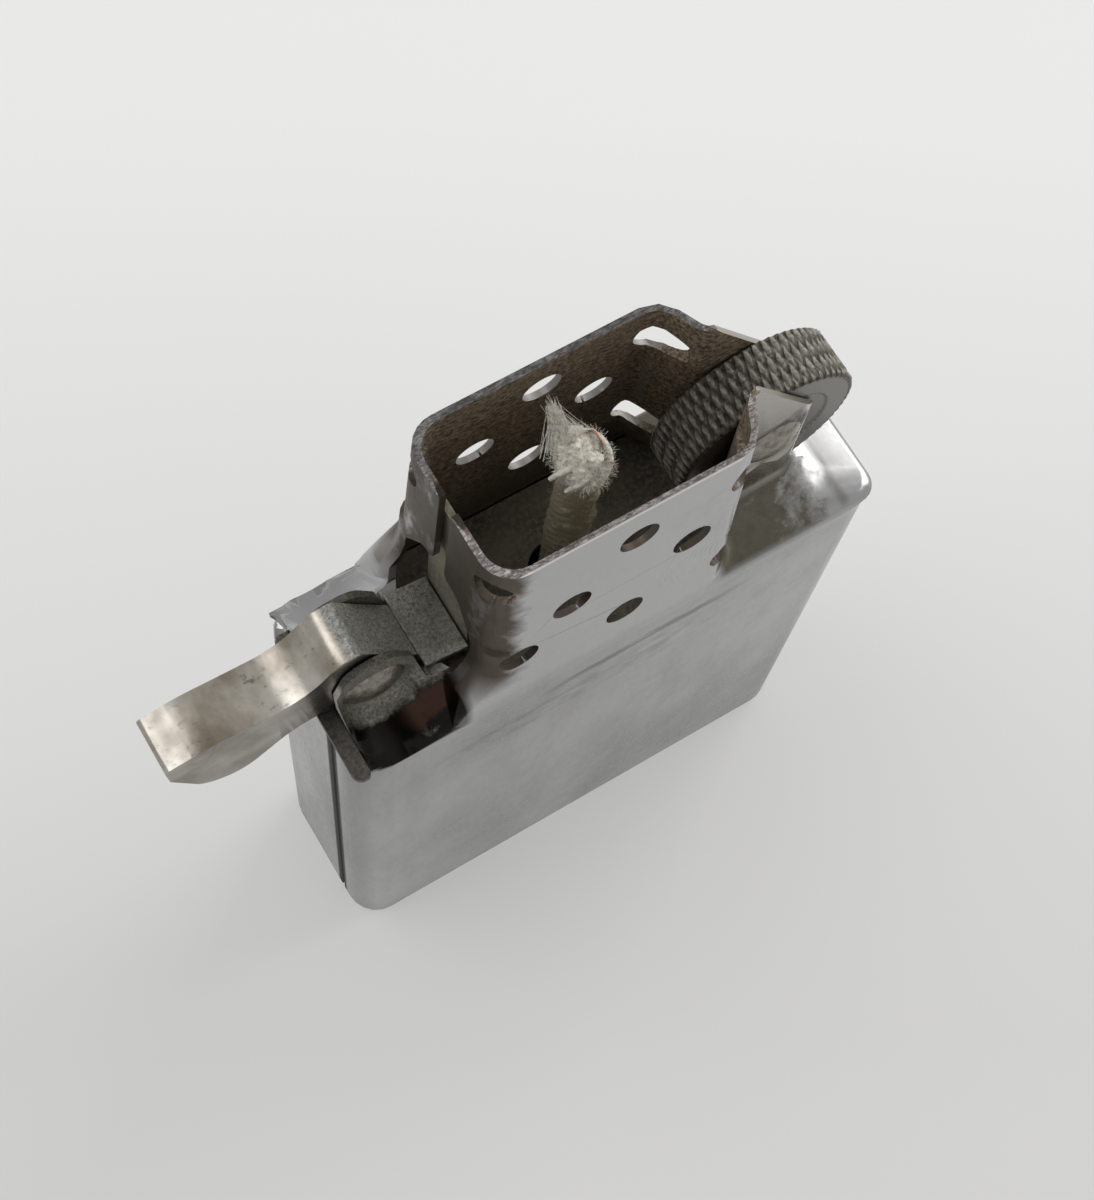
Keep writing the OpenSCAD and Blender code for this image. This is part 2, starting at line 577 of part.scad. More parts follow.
// Felt pad in the open bottom, holed for the flint screw
module felt_pad() {
    half = chamber_y - fit_gap;
    color("lightgray") translate([0, 0, pad_in]) linear_extrude(pad_t) difference() {
        round_rect(fit_gap - chamber_x, chamber_x - fit_gap, half, corner_r - wall);
        translate([tube_x, 0]) circle(d = screw_head_d + 0.8);
    }
}

insert_case();
deck_plate();
cam_rivet();
cam_lever();
cam_spring();
wheel_rivet();
spark_wheel();
flint_tube();
flint();
spring_tip();
flint_spring();
flint_screw();
wick();
wick_wire();
packing_1();
packing_2();
packing_3();
packing_4();
packing_5();
felt_pad();
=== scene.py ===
import math
import random

import bpy
from mathutils import Matrix, Vector


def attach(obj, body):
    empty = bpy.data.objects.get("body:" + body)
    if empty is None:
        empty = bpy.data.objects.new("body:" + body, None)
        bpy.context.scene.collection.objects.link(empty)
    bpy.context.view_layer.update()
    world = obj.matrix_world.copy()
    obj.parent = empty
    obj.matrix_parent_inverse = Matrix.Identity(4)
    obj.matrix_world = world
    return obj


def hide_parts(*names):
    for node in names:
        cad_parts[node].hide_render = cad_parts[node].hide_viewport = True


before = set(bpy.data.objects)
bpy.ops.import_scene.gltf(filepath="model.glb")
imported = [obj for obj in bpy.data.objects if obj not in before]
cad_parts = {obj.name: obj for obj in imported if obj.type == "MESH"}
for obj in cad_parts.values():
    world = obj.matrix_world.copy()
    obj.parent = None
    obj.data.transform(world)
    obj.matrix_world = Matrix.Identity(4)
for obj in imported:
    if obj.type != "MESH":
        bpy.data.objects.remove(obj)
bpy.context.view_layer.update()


# The camera looks steeply down on the front left of the insert from about ten centimetres above
# its rim. So short a distance gives the photograph its strong perspective.
lens = bpy.data.cameras.new("photo_camera")
lens.sensor_fit = "AUTO"
lens.sensor_width = 36
lens.lens = 64.62
lens.clip_start = 0.01
lens.clip_end = 5
camera = bpy.data.objects.new("photo_camera", lens)
bpy.context.scene.collection.objects.link(camera)
bpy.context.scene.camera = camera
bpy.context.scene.view_settings.view_transform = "Standard"
to_right = Vector((0.85354, -0.51638, 0.06947))
to_top = Vector((0.46574, 0.81592, 0.34259))
to_back = to_right.cross(to_top)
camera.matrix_world = Matrix.Translation((-0.030821, -0.032660, 0.148215)) @ Matrix(
    (to_right, to_top, to_back)).transposed().to_4x4()


# A matt pale table and a pale room, which both show in the metal. The table's glow is painted
# light, dimmer at the front and brighter towards the back. The one dark place is overhead, where
# the camera is held; two soft panes give the highlights.
def put(tree, kind, fill=None, out=0, **settings):
    """Adds a shader node, sets or links its inputs, and gives back one of its outputs."""
    new = tree.nodes.new(kind)
    for name, value in settings.items():
        setattr(new, name, value)
    for place, value in (fill or {}).items():
        if isinstance(value, bpy.types.NodeSocket):
            tree.links.new(value, new.inputs[place])
        else:
            new.inputs[place].default_value = value
    return new.outputs[out]


def calc(tree, operation, *terms):
    """One sum on sockets or numbers."""
    return put(tree, "ShaderNodeMath", dict(enumerate(terms)), operation=operation)


def blend(tree, share, first, second):
    """Colour between two, by share from 0 to 1."""
    return put(tree, "ShaderNodeMix", {0: share, 6: first, 7: second}, out=2, data_type="RGBA")


def rising(tree, value, low, high):
    """0 up to low and 1 from high, with a straight slope between them."""
    return put(tree, "ShaderNodeMapRange", {0: value, 1: low, 2: high})


room = bpy.data.worlds.new("pale_room")
bpy.context.scene.world = room
room.use_nodes = True
tree = room.node_tree
tree.nodes.clear()
pale_wall = (0.80, 0.80, 0.79, 1)
dark_hand = (0.08, 0.08, 0.08, 1)
hand_towards = (-0.234, -0.26, 0.937)
overhead = put(tree, "ShaderNodeVectorMath", {0: put(tree, "ShaderNodeTexCoord", out=0), 1: hand_towards},
               out=1, operation="DOT_PRODUCT")
walls = blend(tree, rising(tree, overhead, 0.80, 0.98), pale_wall, dark_hand)
sky = put(tree, "ShaderNodeBackground", {0: walls, 1: 0.75})
seen = put(tree, "ShaderNodeBackground", {0: pale_wall, 1: 1.0})
path = tree.nodes.new("ShaderNodeLightPath")
direct = calc(tree, "MAXIMUM", path.outputs["Is Camera Ray"], path.outputs["Is Transmission Ray"])
world_out = tree.nodes.new("ShaderNodeOutputWorld")
tree.links.new(put(tree, "ShaderNodeMixShader", {0: direct, 1: sky, 2: seen}), world_out.inputs[0])

bpy.ops.object.select_all(action="DESELECT")
bpy.ops.mesh.primitive_plane_add(size=3, location=(0, 0, 0))
table = bpy.context.active_object
table.name = table.data.name = "table_top"
paper = bpy.data.materials.new("pale table")
paper.use_nodes = True
tree = paper.node_tree
coat = tree.nodes["Principled BSDF"]
coat.inputs["Roughness"].default_value = 0.8
coat.inputs["Specular IOR Level"].default_value = 0.2
on_table = put(tree, "ShaderNodeTexCoord", out=3)
mottle = put(tree, "ShaderNodeTexNoise", {"Vector": on_table, "Scale": 9.0, "Detail": 2.0})
tone = blend(tree, mottle, (0.78, 0.78, 0.77, 1), (0.80, 0.80, 0.79, 1))
tree.links.new(tone, coat.inputs["Base Color"])
path = tree.nodes.new("ShaderNodeLightPath")
direct = calc(tree, "MAXIMUM", path.outputs["Is Camera Ray"], path.outputs["Is Glossy Ray"])
direct = calc(tree, "MAXIMUM", direct, path.outputs["Is Transmission Ray"])
# Painted light: camera and glossy rays see the table partly as a glow, dim at the front and bright at the
# back.
backwards = put(tree, "ShaderNodeVectorMath", {0: on_table, 1: (0.49, 0.87, 0)},
                out=1, operation="DOT_PRODUCT")
painted_dim_front, painted_bright_back = (0.62, 0.615, 0.605, 1), (0.96, 0.96, 0.955, 1)
lit = put(tree, "ShaderNodeEmission",
          {0: blend(tree, rising(tree, backwards, -0.022, 0.051), painted_dim_front, painted_bright_back), 1: 1.0})
table_out = put(tree, "ShaderNodeMixShader",
                {0: calc(tree, "MULTIPLY", direct, 0.45), 1: coat.outputs[0], 2: lit})
tree.links.new(table_out, tree.nodes["Material Output"].inputs[0])
table.data.materials.append(paper)


def pane(name, centre, aim, side, power, colour):
    """A large square soft lamp at centre that faces aim."""
    glow = bpy.data.lights.new(name, "AREA")
    glow.shape = "SQUARE"
    glow.size = side
    glow.energy = power
    glow.color = colour
    lamp = bpy.data.objects.new(name, glow)
    bpy.context.scene.collection.objects.link(lamp)
    lamp.location = centre
    lamp.rotation_euler = (Vector(aim) - Vector(centre)).to_track_quat("-Z", "Y").to_euler()


waist = (0, 0, 0.03)
pane("window_pane", (0.76, 0.12, 0.44), waist, 0.7, 4.0, (1, 0.99, 0.97))
pane("ceiling_pane", (-0.34, 0.22, 0.80), waist, 0.5, 1.8, (0.97, 0.98, 1))


# The case is one drawn stainless sheet, 0.4 mm thick: body, chimney and both pairs of ears.
# It is the CAD node's own shape with its faces shaded smooth. Flame and
# fingers have left it sooty inside, heat-brown at the slotted corner and tarnished on the shelf.
def finish_of(name, colour, metal, rough):
    """A new finish: its material, its node tree, its shader and its place in millimetres."""
    made = bpy.data.materials.new(name)
    made.use_nodes = True
    skin = made.node_tree.nodes["Principled BSDF"]
    skin.inputs["Base Color"].default_value = (*colour, 1)
    skin.inputs["Metallic"].default_value = metal
    skin.inputs["Roughness"].default_value = rough
    where = put(made.node_tree, "ShaderNodeMapping",
                {0: put(made.node_tree, "ShaderNodeTexCoord", out=3), 3: (1000, 1000, 1000)})
    return made, made.node_tree, skin, where


def grain(tree, where, size, detail=3.0, stretch=(1, 1, 1), rough=0.55, shift=(0, 0, 0)):
    """Noise whose blotches are about size millimetres across, drawn out by stretch."""
    drawn = put(tree, "ShaderNodeMapping", {0: where, 1: shift, 3: [1 / s for s in stretch]})
    return put(tree, "ShaderNodeTexNoise",
               {"Vector": drawn, "Scale": 1 / size, "Detail": detail, "Roughness": rough})


def dents(tree, skin, height, depth):
    """Bump of depth millimetres from height."""
    bump = put(tree, "ShaderNodeBump", {"Height": height, "Distance": depth / 1000, "Strength": 1.0})
    tree.links.new(bump, skin.inputs["Normal"])


def copy_of(node, name):
    """The CAD node's shape as a piece of its own, with its loose triangles joined."""
    bpy.ops.object.select_all(action="DESELECT")
    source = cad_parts[node]
    source.select_set(True)
    bpy.context.view_layer.objects.active = source
    bpy.ops.object.duplicate()
    piece = bpy.context.active_object
    piece.name = piece.data.name = name
    piece.data.materials.clear()
    bpy.ops.object.mode_set(mode="EDIT")
    bpy.ops.mesh.select_all(action="SELECT")
    bpy.ops.mesh.remove_doubles(threshold=2e-6)
    bpy.ops.object.mode_set(mode="OBJECT")
    return piece


def smooth(piece, degrees, bevel=0.0, steps=2):
    """Bevels edges sharper than degrees, bevel millimetres wide, and shades the rest smooth."""
    bpy.ops.object.select_all(action="DESELECT")
    piece.select_set(True)
    bpy.context.view_layer.objects.active = piece
    if bevel:
        edge = piece.modifiers.new("soft_edges", "BEVEL")
        edge.width = bevel / 1000
        edge.segments = steps
        edge.limit_method = "ANGLE"
        edge.angle_limit = math.radians(degrees)
        bpy.ops.object.modifier_apply(modifier=edge.name)
    bpy.ops.object.shade_smooth_by_angle(angle=math.radians(degrees))
    even = piece.modifiers.new("even_shading", "WEIGHTED_NORMAL")
    even.keep_sharp = True
    bpy.ops.object.modifier_apply(modifier=even.name)


def axes_of(tree, vector):
    """The three parts of a vector, each as a socket."""
    return [put(tree, "ShaderNodeSeparateXYZ", {0: vector}, out=k) for k in range(3)]


def product(tree, first, *rest):
    """All the terms multiplied together, as masks that must all hold."""
    for term in rest:
        first = calc(tree, "MULTIPLY", first, term)
    return first


def between(tree, value, low, high, soft):
    """1 between low and high, with slopes soft wide outside them."""
    return product(tree, rising(tree, value, low - soft, low), rising(tree, value, high + soft, high))


steel, tree, skin, where = finish_of("drawn steel", (0.6, 0.6, 0.61), 1.0, 0.25)
x, y, z = axes_of(tree, where)
aim_x, aim_y, aim_z = axes_of(tree, put(tree, "ShaderNodeTexCoord", out=1))
away = calc(tree, "ABSOLUTE", y)
sideways = calc(tree, "ABSOLUTE", aim_y)
near = rising(tree, y, 1.5, -1.5)

# Drawn steel: broad tones, upright smudges on the body, and a brighter chimney; the darker body below the
# shoulder is partly painted shade.
broad = grain(tree, where, 7.0, 4.0, (1.6, 1, 2.4))
smudge = grain(tree, where, 3.0, 6.0, (1, 1, 3.5), 0.6)
fine = grain(tree, where, 0.35, 4.0, (1, 1, 2.5))
face = blend(tree, rising(tree, broad, 0.35, 0.68), (0.38, 0.38, 0.385, 1), (0.27, 0.27, 0.275, 1))
# Partly painted shade: the body below the shoulder stays darker than the chimney, for the shadowed table it
# mirrors.
face = blend(tree, product(tree, rising(tree, z, 35.5, 37.5), 0.85), face, (0.46, 0.46, 0.465, 1))
smeared = product(tree, rising(tree, smudge, 0.52, 0.74), rising(tree, z, 38.0, 35.0), 0.6)
face = blend(tree, smeared, face, (0.24, 0.235, 0.23, 1))

# Wear on the front: a dark rubbed line, and a hazy patch below it.
worn_z = calc(tree, "ADD", z, calc(tree, "MULTIPLY", calc(tree, "SUBTRACT", smudge, 0.5), 1.6))
front = rising(tree, y, -4.4, -5.0)
rub = product(tree, between(tree, worn_z, 33.2, 33.7, 0.35), front, rising(tree, x, -6.0, -3.0),
              rising(tree, x, 9.0, 5.0), rising(tree, grain(tree, where, 1.0, 6.0, (4, 1, 0.5)), 0.30, 0.50))
haze = product(tree, between(tree, worn_z, 29.8, 31.4, 1.8), front, between(tree, x, -9.0, 4.0, 4.0),
               rising(tree, grain(tree, where, 0.8, 7.0, (3, 1, 1.2), 0.7), 0.42, 0.66))
wear = calc(tree, "ADD", calc(tree, "MULTIPLY", rub, 0.95), calc(tree, "MULTIPLY", haze, 0.7))
face = blend(tree, calc(tree, "MINIMUM", wear, 1.0), face, (0.09, 0.09, 0.085, 1))

# Curved hairline scratches on the chimney, beside the wheel.
round_scratch = put(tree, "ShaderNodeMapping", {0: where, 1: (-7.5, 0, -42.5)})
arcs = put(tree, "ShaderNodeTexWave",
           {"Vector": round_scratch, "Scale": 0.9, "Distortion": 1.2, "Detail": 2.0, "Detail Scale": 0.4},
           out=1, wave_type="RINGS", rings_direction="Y")
scratch = product(tree, rising(tree, arcs, 0.90, 0.99), rising(tree, away, 3.5, 4.2),
                  between(tree, x, 2.0, 5.0, 1.0), between(tree, z, 41.0, 50.0, 1.0),
                  rising(tree, grain(tree, where, 1.2, 3.0), 0.45, 0.6))
face = blend(tree, calc(tree, "MULTIPLY", scratch, 0.6), face, (0.20, 0.20, 0.20, 1))

# Heat has browned the chimney's corner next to the slot, with a ragged edge.
tongues = calc(tree, "MULTIPLY", calc(tree, "SUBTRACT", grain(tree, where, 1.6, 6.0), 0.5), 3.0)
heat = product(tree, rising(tree, calc(tree, "ADD", x, tongues), -6.8, -8.0), rising(tree, z, 38.2, 40.5),
               rising(tree, grain(tree, where, 2.4, 6.0, (1, 1, 2.0), 0.65), 0.20, 0.44))
scorch = blend(tree, grain(tree, where, 1.2, 4.0), (0.045, 0.033, 0.021, 1), (0.10, 0.074, 0.046, 1))
face = blend(tree, calc(tree, "MULTIPLY", heat, 0.92), face, scorch)

# The cam's ears: worn grey at the rivet, red-brown in the hollow with painted black shade there and along its
# foot, and a bright cut end.
cam_ears = product(tree, rising(tree, x, -9.9, -10.4), rising(tree, z, 35.75, 35.95),
                   rising(tree, y, 3.2, 2.0))
blotches = grain(tree, where, 2.2, 8.0, (1, 1, 1), 0.68)
ear_tone_and_shade = blend(tree, rising(tree, grain(tree, where, 0.18, 6.0, (1, 1, 1), 0.8), 0.38, 0.64),
             (0.11, 0.105, 0.09, 1), (0.32, 0.31, 0.27, 1))
ragged = calc(tree, "ADD", away, calc(tree, "MULTIPLY", calc(tree, "SUBTRACT", blotches, 0.5), 2.2))
# Painted shade: black in the outer hollow, with a ragged edge.
ear_tone_and_shade = blend(tree, product(tree, rising(tree, ragged, 2.8, 3.2), rising(tree, blotches, 0.28, 0.38)), ear_tone_and_shade,
             (0.016, 0.015, 0.014, 1))
ear_tone_and_shade = blend(tree, product(tree, between(tree, ragged, 3.3, 4.3, 0.25), rising(tree, x, -14.0, -13.2)), ear_tone_and_shade,
             (0.055, 0.031, 0.024, 1))
# Painted shade: black along the foot of the hollow.
ear_tone_and_shade = blend(tree, product(tree, rising(tree, z, 36.6, 36.4), rising(tree, away, 3.4, 3.8)), ear_tone_and_shade,
             (0.018, 0.017, 0.016, 1))
ear_tone_and_shade = blend(tree, product(tree, rising(tree, x, -16.0, -16.2), rising(tree, aim_x, -0.6, -0.85)), ear_tone_and_shade,
             (0.85, 0.84, 0.81, 1))
face = blend(tree, cam_ears, face, ear_tone_and_shade)

# The end with the seam is duller, and grime has filled the seam.
lap = product(tree, rising(tree, x, -16.6, -16.9), between(tree, y, -2.85, -2.1, 0.22))
face = blend(tree, product(tree, rising(tree, x, -16.0, -17.0), 0.8), face, (0.17, 0.168, 0.16, 1))
face = blend(tree, lap, face, (0.02, 0.02, 0.018, 1))

# Old fuel and flint dust have left brown patches on the shelf under the wheel.
shelf = product(tree, rising(tree, x, 6.0, 6.6), rising(tree, z, 36.5, 36.85), rising(tree, aim_z, 0.15, 0.5))
wiped = calc(tree, "MULTIPLY", rising(tree, x, 11.0, 15.2), 0.45)
mould = rising(tree, calc(tree, "SUBTRACT", grain(tree, where, 2.0, 6.0, (1, 1, 1), 0.68), wiped), 0.20, 0.40)
# Painted shade: a darker line along the groove at the shelf's rolled end.
painted_groove_shade = product(tree, between(tree, x, 14.6, 14.8, 0.35), rising(tree, z, 36.6, 36.9))
rust = blend(tree, grain(tree, where, 0.7, 5.0, (1, 1, 1), 0.7),
             (0.06, 0.052, 0.034, 1), (0.17, 0.155, 0.115, 1))
face = blend(tree, product(tree, shelf, mould, 0.92), face, rust)
face = blend(tree, product(tree, shelf, painted_groove_shade, 0.5), face, (0.16, 0.155, 0.14, 1))

# The striker's ears are warmer, with a painted dark crescent of shade over the rivet head.
rivet_x, rivet_z = 10.3, 43.8
beside = calc(tree, "SQRT", calc(tree, "ADD", calc(tree, "POWER", calc(tree, "SUBTRACT", x, rivet_x), 2.0),
                                 calc(tree, "POWER", calc(tree, "SUBTRACT", z, rivet_z), 2.0)))
ear = product(tree, rising(tree, x, 6.4, 7.0), rising(tree, z, 38.4, 39.0))
face = blend(tree, product(tree, ear, 0.8), face, (0.42, 0.39, 0.345, 1))
painted_crescent_shade = product(tree, ear, between(tree, beside, 2.0, 2.5, 0.5), rising(tree, z, 43.2, 44.8), 0.85)
face = blend(tree, painted_crescent_shade, face, (0.07, 0.066, 0.058, 1))

# Soot inside the chimney, darker towards the deck, and not on the slot's cut sides.
outward = calc(tree, "ADD", product(tree, aim_x, calc(tree, "ADD", x, 1.4), 0.4), product(tree, aim_y, y))
slot_cut = product(tree, rising(tree, x, -8.2, -8.4), rising(tree, sideways, 0.6, 0.8),
                   rising(tree, away, 3.6, 3.4))
inner = product(tree, rising(tree, outward, -0.15, -0.45), rising(tree, z, 35.6, 36.2),
                rising(tree, x, -10.2, -9.6), calc(tree, "SUBTRACT", 1.0, slot_cut))
flock = grain(tree, where, 0.2, 7.0, (1.6, 1, 1), 0.78)
soot = blend(tree, rising(tree, flock, 0.42, 0.62), (0.075, 0.06, 0.045, 1), (0.50, 0.39, 0.275, 1))
soot = blend(tree, product(tree, rising(tree, z, 43.0, 37.0), 0.8), soot, (0.12, 0.105, 0.082, 1))
face = blend(tree, inner, face, soot)

# The punched sides of the air holes are dull, and those in the near wall are painted darker as shade.
punched = product(tree, rising(tree, z, 38.6, 38.8), rising(tree, z, 52.6, 52.4),
                  rising(tree, sideways, 0.6, 0.3), rising(tree, away, 3.9, 4.1))
face = blend(tree, punched, face, blend(tree, near, (0.30, 0.285, 0.27, 1), (0.12, 0.10, 0.085, 1)))

# The rim is scorched and painted darker on the far side as shade, with fine bright scrapes and painted
# glints that are stronger at the front, and a painted highlight along the outer edge at the front.
edge = product(tree, rising(tree, z, 52.8, 52.95), rising(tree, aim_z, 0.75, 0.9))
scrapes_and_glints = rising(tree, grain(tree, where, 0.14, 6.0, (2.6, 1, 1), 0.75), 0.44, 0.66)
glint = calc(tree, "MULTIPLY", scrapes_and_glints, calc(tree, "ADD", 0.35, calc(tree, "MULTIPLY", near, 0.35)))
painted_edge_highlight = product(tree, rising(tree, y, -4.60, -4.68), 0.9)
burnt_with_far_shade = blend(tree, near, (0.10, 0.095, 0.092, 1), (0.15, 0.125, 0.12, 1))
face = blend(tree, edge, face, blend(tree, calc(tree, "MAXIMUM", glint, painted_edge_highlight), burnt_with_far_shade, (0.84, 0.81, 0.79, 1)))
tree.links.new(face, skin.inputs["Base Color"])

# Soot and grime aren't metal, and what is worn, stained or burnt is rougher than the sheet.
covered = calc(tree, "MAXIMUM", calc(tree, "MULTIPLY", inner, 0.6), lap)
tree.links.new(calc(tree, "SUBTRACT", 1.0, covered), skin.inputs["Metallic"])
dull = 0.14
for share, mask in ((0.14, fine), (0.12, rising(tree, broad, 0.4, 0.8)), (0.16, product(tree, shelf, mould)),
                    (0.3, calc(tree, "MAXIMUM", punched, heat)), (0.5, lap), (0.35, inner),
                    (0.3, product(tree, cam_ears, rising(tree, away, 3.4, 2.8)))):
    dull = calc(tree, "ADD", dull, calc(tree, "MULTIPLY", mask, share))
tree.links.new(dull, skin.inputs["Roughness"])
uneven = calc(tree, "ADD", grain(tree, where, 0.5, 5.0), calc(tree, "MULTIPLY", inner, flock))
dents(tree, skin, uneven, 0.0025)

case = copy_of("insert_case", "case_sheet")
smooth(case, 33)
case.data.materials.append(steel)
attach(case, "case")
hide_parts("insert_case")


# The deck plate is pressed from thin steel and fixed in the chimney as its floor, with a tab that
# stands up behind the slot. Flame and flint dust have dulled it dark. Its shape is the CAD node's.
smoked, tree, skin, where = finish_of("smoked steel", (0.10, 0.10, 0.085), 0.2, 0.6)
flecks = rising(tree, grain(tree, where, 0.3, 5.0, (1, 1, 1), 0.7), 0.45, 0.62)
patches = rising(tree, grain(tree, where, 2.5, 3.0), 0.35, 0.65)
smoke = blend(tree, patches, (0.11, 0.098, 0.073, 1), (0.22, 0.20, 0.145, 1))
tree.links.new(blend(tree, flecks, smoke, (0.25, 0.23, 0.175, 1)), skin.inputs["Base Color"])
dents(tree, skin, flecks, 0.012)
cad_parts["deck_plate"].data.materials[0] = smoked


# The cam lever is solid stamped steel, nickel plated. The plate is bright and warm on the
# thumb side, spotted with tarnish, and worn to dark grained steel on the flats at the pivot.
nickel, tree, skin, where = finish_of("worn nickel", (0.42, 0.38, 0.33), 1.0, 0.3)
x, y, z = axes_of(tree, where)
sideways = calc(tree, "ABSOLUTE", axes_of(tree, put(tree, "ShaderNodeTexCoord", out=1))[1])
spots = product(tree, rising(tree, grain(tree, where, 0.45, 6.0, (1.5, 1, 1), 0.7), 0.56, 0.66),
                rising(tree, grain(tree, where, 3.0, 3.0), 0.46, 0.60))
clouds = rising(tree, grain(tree, where, 2.6, 4.0, (1, 1.5, 1)), 0.32, 0.62)
face = blend(tree, clouds, (0.54, 0.51, 0.46, 1), (0.24, 0.205, 0.16, 1))
# Painted shade: the side faces are darker, and so are the edges between the top and the sides.
face = blend(tree, product(tree, rising(tree, sideways, 0.6, 0.9), 0.55), face, (0.30, 0.29, 0.26, 1))
face = blend(tree, calc(tree, "MULTIPLY", spots, 0.75), face, (0.13, 0.11, 0.09, 1))
shaded_edge_lines = product(tree, between(tree, sideways, 0.25, 0.75, 0.1), rising(tree, z, 38.0, 39.0))
face = blend(tree, calc(tree, "MULTIPLY", shaded_edge_lines, 0.6), face, (0.14, 0.12, 0.10, 1))
flat = product(tree, rising(tree, x, -15.6, -15.1), rising(tree, sideways, 0.9, 0.5))
sand = grain(tree, where, 0.16, 5.0, (1, 1, 1), 0.8)
worn = blend(tree, rising(tree, sand, 0.34, 0.68), (0.09, 0.09, 0.082, 1), (0.66, 0.66, 0.61, 1))
tree.links.new(blend(tree, flat, face, worn), skin.inputs["Base Color"])
tree.links.new(calc(tree, "SUBTRACT", 1.0, calc(tree, "MULTIPLY", flat, 0.7)), skin.inputs["Metallic"])
dull = 0.2
for share, mask in ((0.10, clouds), (0.3, flat), (0.08, rising(tree, x, -17.0, -18.2))):
    dull = calc(tree, "ADD", dull, calc(tree, "MULTIPLY", mask, share))
tree.links.new(dull, skin.inputs["Roughness"])
dents(tree, skin, calc(tree, "ADD", calc(tree, "MULTIPLY", grain(tree, where, 0.3, 4.0), 0.3),
                       calc(tree, "MULTIPLY", flat, sand)), 0.012)
lever = copy_of("cam_lever", "cam_lever_body")
smooth(lever, 25, 0.14, 3)
lever.data.materials.append(nickel)
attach(lever, "cam")
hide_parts("cam_lever")


# The leaf spring is a strip of blued steel under the cam, fixed to the case: a bar across the case
# end, a cradle and a wide free end. It is rubbed bright, with dark pits, except out at the bar.
strip, tree, skin, where = finish_of("spring strip", (0.24, 0.24, 0.22), 0.9, 0.45)
pits = rising(tree, grain(tree, where, 0.2, 6.0, (1, 1, 1), 0.8), 0.36, 0.66)
patch = rising(tree, grain(tree, where, 1.6, 3.0), 0.38, 0.62)
rubbed = blend(tree, patch, (0.58, 0.58, 0.53, 1), (0.40, 0.39, 0.34, 1))
rubbed = blend(tree, pits, (0.13, 0.13, 0.115, 1), rubbed)
blued = blend(tree, pits, (0.05, 0.047, 0.042, 1), (0.16, 0.15, 0.13, 1))
out_at_the_bar = rising(tree, axes_of(tree, where)[0], -15.0, -15.6)
tree.links.new(blend(tree, out_at_the_bar, rubbed, blued), skin.inputs["Base Color"])
dents(tree, skin, pits, 0.012)
leaf = copy_of("cam_spring", "leaf_spring")
smooth(leaf, 30, 0.06, 2)
leaf.data.materials.append(strip)
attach(leaf, "case")
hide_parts("cam_spring")


# The two rivets are soft steel pins through the ears, one for the cam and one for the wheel. Their
# heads are set by a hollow punch and worn pale in patches.
pin, tree, skin, where = finish_of("rivet steel", (0.50, 0.48, 0.43), 1.0, 0.35)
wear = rising(tree, grain(tree, where, 0.5, 5.0, (1, 1, 1), 0.7), 0.42, 0.66)
tree.links.new(blend(tree, wear, (0.32, 0.30, 0.26, 1), (0.12, 0.105, 0.085, 1)), skin.inputs["Base Color"])
dents(tree, skin, wear, 0.01)
for rivet in ("cam_rivet", "wheel_rivet"):
    pressed = copy_of(rivet, rivet + "_worn")
    smooth(pressed, 30, 0.25, 4)
    pressed.data.materials.append(pin)
    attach(pressed, "case")
    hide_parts(rivet)


# The striker wheel is hardened steel. Its rim is filed twice: coarse teeth that lie aslant, and
# shallow cuts that cross them the other way. Its sides are plain and dark.
wheel_at = Vector((0.0103, 0, 0.0438))
tip_radius = 0.0055
wide = 0.0032
teeth = 58
bands = 24
twist = math.radians(0.4)  # from one band to the next
valley = 0.974  # of the tip radius
bpy.ops.object.select_all(action="DESELECT")
bpy.ops.mesh.primitive_cylinder_add(vertices=2 * teeth, radius=tip_radius, depth=wide, location=wheel_at,
                                    rotation=(math.pi / 2, 0, 0))
wheel = bpy.context.active_object
wheel.name = wheel.data.name = "file_wheel"
bpy.ops.object.transform_apply(location=True, rotation=True, scale=True)
bpy.ops.object.mode_set(mode="EDIT")
for k in range(1, bands):
    bpy.ops.mesh.select_all(action="SELECT")
    bpy.ops.mesh.bisect(plane_co=(0, wide * (k / bands - 0.5), 0), plane_no=(0, 1, 0))
bpy.ops.object.mode_set(mode="OBJECT")


def choose(piece, test, kind="vertices"):
    """Selects only the vertices, edges or faces that pass the test, and enters edit mode."""
    for part in (piece.data.vertices, piece.data.edges, piece.data.polygons):
        part.foreach_set("select", [False] * len(part))
    for one in getattr(piece.data, kind):
        one.select = bool(test(one))
    bpy.ops.object.mode_set(mode="EDIT")
    bpy.context.tool_settings.mesh_select_mode = [kind == k for k in ("vertices", "edges", "polygons")]


def turn_of(v):
    """How far round the wheel a vertex is, in half teeth."""
    return math.atan2(v.co.z - wheel_at.z, v.co.x - wheel_at.x) / math.tau * 2 * teeth


choose(wheel, lambda v: round(turn_of(v)) % 2)
bpy.ops.transform.resize(value=(valley, 1, valley), center_override=wheel_at)
bpy.ops.object.mode_set(mode="OBJECT")
for k in range(1, bands + 1):
    choose(wheel, lambda v: v.co.y > wide * ((k - 0.5) / bands - 0.5))
    bpy.ops.transform.rotate(value=twist, orient_axis="Y", center_override=wheel_at)
    bpy.ops.object.mode_set(mode="OBJECT")
choose(wheel, lambda v: abs(v.co.y) < 0.0015)
bpy.ops.transform.vertex_random(offset=0.00003, uniform=0.4, normal=0.5, seed=5)
bpy.ops.object.mode_set(mode="OBJECT")
choose(wheel, lambda f: abs(f.normal.y) > 0.9 and len(f.vertices) > 10, "polygons")
bpy.ops.mesh.inset(thickness=0.00022, depth=0.0)
bpy.ops.object.mode_set(mode="OBJECT")
for side in (-wide / 2, wide / 2):
    middle = wheel_at + Vector((0, side, 0))
    choose(wheel, lambda v: abs(v.co.y - side) < 1e-5 and (v.co - middle).length > 0.00527)
    bpy.ops.transform.resize(value=(0.972, 1, 0.972), center_override=wheel_at)
    bpy.ops.object.mode_set(mode="OBJECT")
